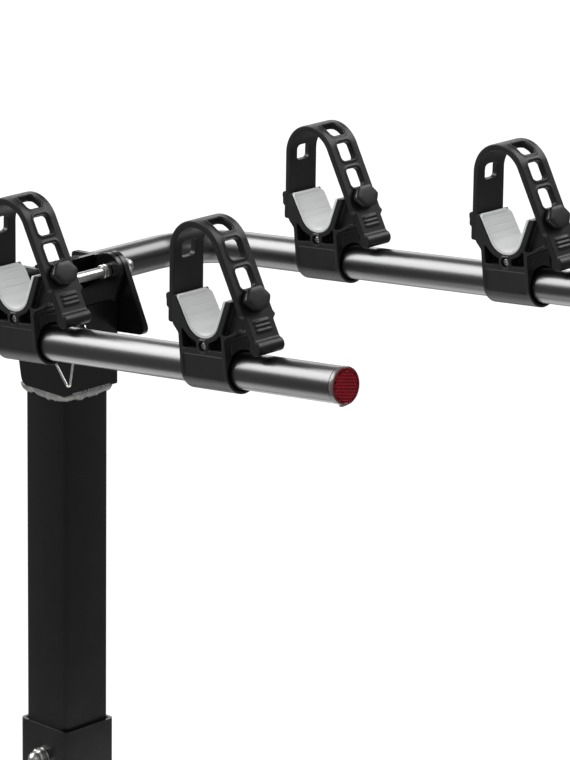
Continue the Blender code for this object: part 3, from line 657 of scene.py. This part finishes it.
def honeycomb(lens_r, face):
    """Disc of hexagonal cells, each a pit between walls; material 1 walls, 2 cells."""
    bm = bmesh.new()
    pitch, wall, deep, slant = 2.5, 0.26, 0.75, math.radians(-12)
    inner_r = lens_r + 0.1
    side = pitch / math.sqrt(3)
    rim_r = side - wall
    floor_r = 0.45 * rim_r
    rows = int(lens_r / (1.5 * side)) + 2
    for row in range(-rows, rows + 1):
        for column in range(-8, 9):
            y = pitch * (column + 0.5 * (row % 2))
            z = 1.5 * side * row
            if math.hypot(y, z) > inner_r - 0.35 * pitch:
                continue
            outer, rim, floor = [], [], []
            for k in range(6):
                a = math.pi / 6 + math.pi / 3 * k
                for ring, x, r in ((outer, face, side), (rim, face, rim_r),
                                   (floor, face - deep * 0.7, floor_r)):
                    ring.append(bm.verts.new((x, y + r * math.cos(a), z + r * math.sin(a))))
            middle = bm.verts.new((face - deep, y, z))
            for k in range(6):
                j = (k + 1) % 6
                bm.faces.new((outer[k], outer[j], rim[j], rim[k])).material_index = 1
                bm.faces.new((rim[k], rim[j], floor[j], floor[k])).material_index = 2
                bm.faces.new((floor[k], floor[j], middle)).material_index = 2
    bmesh.ops.remove_doubles(bm, verts=bm.verts, dist=0.02)
    bmesh.ops.recalc_face_normals(bm, faces=bm.faces)
    bmesh.ops.transform(bm, matrix=Matrix.Rotation(slant, 4, "X"), verts=bm.verts)
    if sum(f.normal.x * f.calc_area() for f in bm.faces) < 0:
        bmesh.ops.reverse_faces(bm, faces=bm.faces)
    return bm


def arm_ends():
    """Caps in the arms' ends, each with a round red reflector; the lens's material 0 is its smooth rim."""
    rim_r = ARM_R + 0.35
    lens_r = ARM_R - 0.6
    profile = [(0, -16), (10.0, -16), (10.6, -15.4), (10.6, -0.1), (rim_r - 0.9, 0.0), (rim_r - 0.3, 0.2),
               (rim_r, 0.6), (rim_r, 3.7), (rim_r - 0.1, 4.0), (rim_r - 0.3, 4.2), (lens_r + GAP, 4.2),
               (lens_r + GAP, 1.9), (0, 1.9)]
    for word, side in (("near", -1), ("far", 1)):
        end = arm_matrix(ARM_END_S + GAP, side * ARM_HALF_SPACING)
        cap = turned(profile, "x", count=72)
        tab = prism(box_outline(2.2, 0.5, 0.3, 3), "x", 0.2, 2.6, (-1.5, -rim_r - 0.2))
        piece("arm_cap_" + word + "_detail", mesh_of("arm_cap", joined(cap, tab)), COLLAR, "arms",
              ("arm_cap_" + word,), end)
        body = turned([(0, 2.1), (lens_r, 2.1), (lens_r, 4.3), (lens_r - 0.15, 4.5), (lens_r - 0.45, 4.55),
                       (lens_r - 0.6, 4.4), (lens_r - 0.6, 3.4), (0, 3.4)], "x", count=72)
        lens = mesh_of("lens", joined(body, honeycomb(lens_r, 4.4)))
        obj = piece("reflector_" + word + "_lens", lens, None, "arms",
                    ("reflector_" + word,), end, sharp=20)
        for look in (RED_RIM, RED_WALL, RED_CELL):
            obj.data.materials.append(look)


def arm_tube():
    """One tube bent into a U: the far arm, the crossbar and the near arm."""
    half = ARM_HALF_SPACING
    bend = (CROSSBAR_S + ARM_BEND_R, half - ARM_BEND_R)
    corner = arc(bend, ARM_BEND_R, math.pi / 2, math.pi, 40)
    side = [(ARM_END_S, half)] + corner
    plan = side + [(s, -y) for s, y in reversed(side)]
    tube = swept([(s, y, 0) for s, y in plan], ARM_R, 96, wall=ARM_WALL)
    piece("arm_tube_detail", mesh_of("arm_tube", tube), GLOSS, "arms", ("arm_tube",),
          arm_matrix(0, 0), sharp=40)


# ---------------------------------------------------------------- cradles

def trough_line(offset, steps=28):
    """The trough's outline at an offset outward from the pad's face, left lip to right lip."""
    line = arc(TROUGH, TROUGH_R + offset, math.pi + TROUGH_FLARE, math.tau - TROUGH_FLARE, steps)
    out = (LIP_W - line[-1][1]) * math.tan(TROUGH_FLARE)
    return [(line[0][0] - out, LIP_W)] + line + [(line[-1][0] + out, LIP_W)]


def cradle_mesh():
    """Cradle body: a block on the tube, with a trough on top, recesses, a screw boss and the peg's socket."""
    half, deep = 22.0, CRADLE_DEEP
    outline = rounded([
        (-half, -19, 3), (-half, 25, 3), (-27.0, 31, 3), (-24.8, LIP_W, 1.0), (30.1, LIP_W, 1.5),
        (37.2, 33, 3), (33, 28.5, 3), (half, 24, 3), (half, -19, 3),
    ])
    block = prism(outline, "y", -deep, deep)
    loaf_line = [(-deep, LIP_W + 5)] + arc((0, 0), deep, math.pi, math.tau, 48) + [(deep, LIP_W + 5)]
    loaf = prism(loaf_line, "x", -60, 60)
    trough = trough_line(PAD_THICK + GAP)
    opening = [(trough[0][0] - 3, LIP_W + 6)] + trough + [(trough[-1][0] + 3, LIP_W + 6)]
    tools = [("INTERSECT", loaf), ("DIFFERENCE", prism(opening, "y", -40, 40))]
    tools.append(("DIFFERENCE", rod(ARM_R + GAP, "x", -60, 60, count=72)))
    tools.append(("DIFFERENCE", rod(ARM_R + 1.3, "x", half - 3.5, 60, count=72)))
    pockets = (
        [(-18.5, 15.4, 0.8), (-5.2, 15.4, 0.8), (-5.2, 20.0, 0.8), (-12.2, 23.2, 1.5), (-18.5, 30.0, 0.8)],
        [(6.4, 15.4, 0.8), (18.5, 15.4, 0.8), (18.5, 27.5, 0.8), (13.6, 23.0, 1.5), (6.4, 20.0, 0.8)],
    )
    for pocket in pockets:
        line = rounded(pocket, 3)
        tools.append(("DIFFERENCE", prism(line, "y", -40, -deep + 9)))
        tools.append(("DIFFERENCE", prism(line, "y", deep - 9, 40)))
    plate = rounded([(-19, -5.5, 1.5), (19.5, -5.5, 1.5), (19.5, 11.5, 1.5), (-19, 11.5, 1.5)])
    tools.append(("DIFFERENCE", prism(plate, "y", -40, -deep + 0.6)))
    tools.append(("UNION", turned([(0, -deep - 0.5), (4.4, -deep - 0.5), (5.0, -deep), (5.0, -deep + 2),
                                   (0, -deep + 2)], "y", SCREW_AT)))
    tools.append(("DIFFERENCE", rod(3.4, "y", -40, -deep + 4, SCREW_AT)))
    beside = [(33, 53, 0), (31.2, 51.8, 0), (20.9, 30.4, 1.5), (19.6, 27.2, 1), (24, 26.8, 0.8), (34, 31, 0),
              (42, 33, 0), (42, 53, 0)]
    for low, high in ((-40, -deep + 4.6), (deep - 4.6, 40)):
        tools.append(("DIFFERENCE", prism(rounded(beside, 3), "y", low, high)))
    side_panel = rounded([(-9.5, 8, 2), (9.5, 8, 2), (9.5, 20, 2), (-9.5, 20, 2)])
    tools.append(("DIFFERENCE", prism(side_panel, "x", half - 0.7, 60)))
    peg = leg_point(KNOB_T) - LEG_OUT * (STRAP_THICK / 2 + KNOB_STEM + GAP)
    socket = prism(circle(STEM_R + 0.4, 32), "x", 0, 40)
    bmesh.ops.transform(socket, matrix=out_matrix(peg, LEG_OUT), verts=socket.verts)
    tools.append(("DIFFERENCE", socket))
    return softened(combined("cradle_body", block, *tools), 0.42, 3, 0.5)


def leg_point(distance):
    """Where the strap's midline is, in (s, w), at a distance down its front leg."""
    return ARCH + LEG_OUT * ARCH_R + LEG_ALONG * distance


def out_matrix(spot, out):
    """Frame at (s, w) in the cradle whose x points along out."""
    turn = Matrix.Rotation(-math.atan2(out.y, out.x), 4, "Y")
    return Matrix.Translation((spot.x, 0, spot.y)) @ turn


def knob_mesh():
    """Peg with a low domed head whose outline is a soft hexagon."""
    under = KNOB_STEM + STRAP_THICK + 0.4
    rings = [[(t, r * math.cos(a), r * math.sin(a)) for a in [math.tau * k / 60 for k in range(60)]]
             for t, r in ((0, STEM_R), (under, STEM_R))]
    levels = [(under, 0.90), (under + 0.5, 0.965), (under + 1.1, 1.0), (under + 4.3, 1.0),
              (under + 5.1, 0.975), (under + 5.6, 0.92), (under + 5.85, 0.84), (under + 6.0, 0.6),
              (under + 6.1, 0.3)]
    for t, grow in levels:
        ring = []
        for k in range(60):
            angle = math.tau * k / 60
            local = angle % (math.pi / 3) - math.pi / 6
            flat, reach = 0.90 * KNOB_R / math.cos(local), KNOB_R
            r = (flat ** -16 + reach ** -16) ** (-1 / 16) * grow
            ring.append((t, 1.17 * r * math.cos(angle), 0.92 * r * math.sin(angle)))
        rings.append(ring)
    rings.append([(under + 6.12, 0, 0)])
    bm = lofted(rings)
    base = leg_point(KNOB_T) - LEG_OUT * (STRAP_THICK / 2 + KNOB_STEM)
    bmesh.ops.transform(bm, matrix=out_matrix(base, LEG_OUT), verts=bm.verts)
    return mesh_of("knob", bm)


def screw_mesh():
    """Pan head screw with a cross recess, at the bottom of its counterbore."""
    front = -CRADLE_DEEP
    profile = [(0, front + 3.7), (2.9, front + 3.7), (2.9, front + 1.7), (2.6, front + 1.2),
               (2.0, front + 0.9), (0, front + 0.8)]
    head = turned(profile, "y", SCREW_AT)
    slots = [prism(box_outline(a, b, 0.1, 2), "y", front - 1, front + 2.0, SCREW_AT)
             for a, b in ((1.7, 0.4), (0.4, 1.7))]
    return combined("screw", head, *[("DIFFERENCE", slot) for slot in slots])


PAD_SIDE = (LIP_W - TROUGH[1] + TROUGH_R * math.sin(TROUGH_FLARE)) / math.cos(TROUGH_FLARE)
PAD_BEND = TROUGH_R * (math.pi - 2 * TROUGH_FLARE)


def pad_place(run):
    """Point on the pad's face and the direction into the cradle, at a distance from its left lip."""
    bend_run = min(max(run - PAD_SIDE, 0), PAD_BEND)
    angle = math.pi + TROUGH_FLARE + bend_run / TROUGH_R
    out = Vector((math.cos(angle), math.sin(angle)))
    along = Vector((-out.y, out.x))
    beyond = min(run - PAD_SIDE, 0) + max(run - PAD_SIDE - PAD_BEND, 0)
    return Vector(TROUGH) + out * TROUGH_R + along * beyond, out


def laid(mesh, place):
    """The flat mesh, made as (run, y, height), laid along a path; place gives its point and direction."""
    for vert in mesh.vertices:
        run, y, height = vert.co / MM
        spot, out = place(run)
        spot = spot + out * height
        vert.co = Vector((spot.x, y, spot.y)) * MM
    return mesh


def pad_mesh():
    """Rubber saddle made flat: grooves across it, rounded far corners and a rolled left lip."""
    length = 2 * PAD_SIDE + PAD_BEND
    low, high, strips = -15.2, 15.6, 14
    outline = rounded([(0, low, 1.2), (length, low, 1.2), (length, high, 6.0), (0, high, 5.0)], 8)
    tools = [("UNION", rod(1.75, "y", low + 0.4, high - 4.5, (0.6, 1.15), 32))]
    for k in range(1, strips):
        groove = prism(box_outline(0.32, 0.45, 0.2, 2), "y", low - 2, high + 2, (length * k / strips, 0.0))
        tools.append(("DIFFERENCE", groove))
    flat = softened(combined("pad", prism(outline, "z", 0, PAD_THICK), *tools), 0.32, 2)
    return thinned(laid(flat, pad_place), 0.4)


REAR_LENGTH = (ARCH.y + ARCH_R * math.sin(REAR_ANGLE) - STRAP_FOOT_W) / math.cos(REAR_LEAN)
ARC_LENGTH = ARCH_R * (REAR_ANGLE - ARCH_END_ANGLE)
FRONT_START = REAR_LENGTH + ARC_LENGTH


def strap_place(run):
    """Midline point and outward normal at a distance along the strap from its rear foot."""
    if run < REAR_LENGTH:
        top = ARCH + Vector((math.cos(REAR_ANGLE), math.sin(REAR_ANGLE))) * ARCH_R
        up = Vector((math.sin(REAR_LEAN), math.cos(REAR_LEAN)))
        return top - up * (REAR_LENGTH - run), Vector((-up.y, up.x))
    if run < FRONT_START:
        angle = REAR_ANGLE - (run - REAR_LENGTH) / ARCH_R
        out = Vector((math.cos(angle), math.sin(angle)))
        return ARCH + out * ARCH_R, out
    return leg_point(run - FRONT_START), LEG_OUT


def strap_mesh():
    """The strap made flat, as (run, y, height), softened, and then laid round its path."""
    half, thick, through = STRAP_HALF_WIDTH, STRAP_THICK / 2, 9
    end = FRONT_START + TAIL_T
    narrow = FRONT_START + 50.5
    outline = [
        (0, -half, 2), (narrow - 1.5, -half, 0.8), (narrow + 1.0, -12.2, 0.8), (end, -12, 0), (end, 12, 0),
        (narrow + 5.5, 12.2, 0.8), (narrow + 3.0, half + 1.2, 0.6), (narrow, half, 0.6), (0, half, 2),
    ]
    band = prism(rounded(outline, 3), "z", -thick, thick)
    holes = [(REAR_LENGTH, 6.2, 6.6), (FRONT_START - 14.6, 6.6, 7.0), (FRONT_START + 4.2, 7.2, 7.0),
             (FRONT_START + 24.8, 7.4, 7.0)]
    tools = []
    for run, long, wide in holes:
        frame_line = box_outline(long + 1.5, wide + 1.5, 4.0, 4)
        tools.append(("UNION", prism(frame_line, "z", -thick, thick + 0.45, (run, 0))))
    bump = [(10.2, -thick, 0), (10.2, thick + 2.6, 1.6), (20.4, thick + 3.4, 2.0), (21.4, -thick, 0)]
    tools.append(("UNION", prism(rounded(bump, 4), "y", -half + 0.2, half - 0.2)))
    heel = [(0.4, -thick, 0), (0.4, thick + 0.8, 1.5), (11, thick + 0.9, 0), (11, -thick, 0)]
    tools.append(("UNION", prism(rounded(heel, 4), "y", -half + 0.2, half - 0.2)))
    for k in range(3):
        rib = prism(box_outline(0.75, 7.0, 0.5, 3), "z", 0, thick + 0.9, (FRONT_START + 56.0 + 3.1 * k, 0))
        tools.append(("UNION", rib))
    tools.append(("UNION", rod(5.0, "y", -12, 12, (end, 0), 40)))
    for run, long, wide in holes:
        opening = prism(box_outline(long, wide, 2.8, 4), "z", -through, through, (run, 0))
        tools.append(("DIFFERENCE", opening))
    tools.append(("DIFFERENCE", rod(STEM_R + 0.7, "z", -through, through, (FRONT_START + KNOB_T, 0), 40)))
    flat = softened(combined("strap", band, *tools), 0.62, 2)
    return thinned(laid(flat, strap_place), 0.45)


def cradles():
    """The four cradles, with their pads, knobs, screws and straps."""
    shapes = (("cradle", cradle_mesh(), PLASTIC, "black_plastic", 40),
              ("pad", pad_mesh(), PAD, "grey_pad", 50),
              ("strap_knob", knob_mesh(), KNOB, "black_plastic", 50),
              ("cradle_screw", screw_mesh(), ZINC, "bright_zinc", 35))
    strap = strap_mesh()
    for side, y in (("near", -ARM_HALF_SPACING), ("far", ARM_HALF_SPACING)):
        for word, s in CRADLE_S.items():
            ending = f"_{side}_{word}"
            matrix = arm_matrix(s, y)
            for name, mesh, look, slot, sharp in shapes:
                obj = piece(name + ending + "_detail", mesh, look, "arms", (name + ending,), matrix,
                            sharp)
            band = piece("strap" + ending, strap.copy(), RUBBER, None,
                         ("strap_loop" + ending, "strap_tail" + ending), matrix, 50)
            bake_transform(band)


# ---------------------------------------------------------------- stage, lights and camera

def stage():
    """Round white floor with a glow of its own, so that it runs into the white behind it."""
    bm = bmesh.new()
    bmesh.ops.create_circle(bm, cap_ends=True, radius=FLOOR_R, segments=96)
    floor = bpy.data.objects.new("floor", mesh_of("floor", bm))
    bpy.context.scene.collection.objects.link(floor)
    floor.location = (FLOOR_X, 0, cad_low.z - 0.001)
    white = surface("floor_white", (0.62, 0.62, 0.62), 0.7, specular=0.1,
                    grain=(40, 0.02, 0.0005), tint=0.01)
    glow = white.node_tree.nodes["Principled BSDF"].inputs
    glow["Emission Color"].default_value = (1, 1, 1, 1)
    glow["Emission Strength"].default_value = 0.75
    floor.data.materials.append(white)


def area(name, towards, distance, width, height, radiance):
    """Soft box of a given radiance, standing in a direction from the arms and facing them."""
    target = (0.42, 0.0, 0.66)
    away = Vector(towards).normalized()
    light = bpy.data.lights.new(name, "AREA")
    light.shape = "RECTANGLE"
    light.size, light.size_y = width, height
    light.energy = radiance * math.pi * width * height
    obj = bpy.data.objects.new(name, light)
    bpy.context.scene.collection.objects.link(obj)
    obj.location = Vector(target) + away * distance
    obj.rotation_euler = away.to_track_quat("Z", "Y").to_euler()
    obj.visible_camera = False


def lights():
    """World that is white to the camera and dim grey to everything else, and four soft boxes."""
    world = bpy.data.worlds.new("studio")
    bpy.context.scene.world = world
    world.use_nodes = True
    tree = world.node_tree
    shade = tree.nodes["Background"]
    shade.inputs["Color"].default_value = (0.20, 0.20, 0.20, 1)
    white = tree.nodes.new("ShaderNodeBackground")
    white.inputs["Color"].default_value = (1, 1, 1, 1)
    white.inputs["Strength"].default_value = 1.1
    ray = tree.nodes.new("ShaderNodeLightPath")
    mix = tree.nodes.new("ShaderNodeMixShader")
    tree.links.new(ray.outputs["Is Camera Ray"], mix.inputs["Fac"])
    tree.links.new(shade.outputs["Background"], mix.inputs[1])
    tree.links.new(white.outputs["Background"], mix.inputs[2])
    tree.links.new(mix.outputs["Shader"], tree.nodes["World Output"].inputs["Surface"])
    area("key", (-0.74, -0.38, 0.56), 2.4, 2.2, 1.4, 6.6)
    area("top_back", (0.224, 0.688, 0.69), 2.4, 1.6, 1.0, 5.0)
    area("backdrop", (-0.66, 0.69, 0.26), 2.2, 2.4, 0.7, 1.6)
    area("front", (0.8, -0.5, 0.5), 3.0, 1.6, 1.2, 1.0)


def camera():
    """The photograph's viewpoint: a long lens, looking from the far right and slightly down."""
    place = (2.6852, -2.3331, 1.6418)
    bearing, pitch, roll = math.radians(46.0), math.radians(17.02), math.radians(0.75)
    ahead = Vector((-math.cos(bearing), math.sin(bearing), 0))
    right = Vector((math.sin(bearing), math.cos(bearing), 0))
    look = ahead * math.cos(pitch) + Vector((0, 0, -math.sin(pitch)))
    up = right.cross(look)
    x_axis = right * math.cos(roll) + up * math.sin(roll)
    y_axis = up * math.cos(roll) - right * math.sin(roll)
    data = bpy.data.cameras.new("camera")
    data.lens = 225.87
    data.sensor_width = 36.0
    obj = bpy.data.objects.new("camera", data)
    bpy.context.scene.collection.objects.link(obj)
    obj.matrix_world = Matrix((
        (x_axis.x, y_axis.x, -look.x, place[0]), (x_axis.y, y_axis.y, -look.y, place[1]),
        (x_axis.z, y_axis.z, -look.z, place[2]), (0, 0, 0, 1),
    ))
    bpy.context.scene.camera = obj


camera()
lights()
stage()
frame_parts()
fasteners()
mast_weld()
other_welds()
arm_tube()
arm_ends()
cradles()
bpy.context.scene.view_settings.view_transform = "Standard"
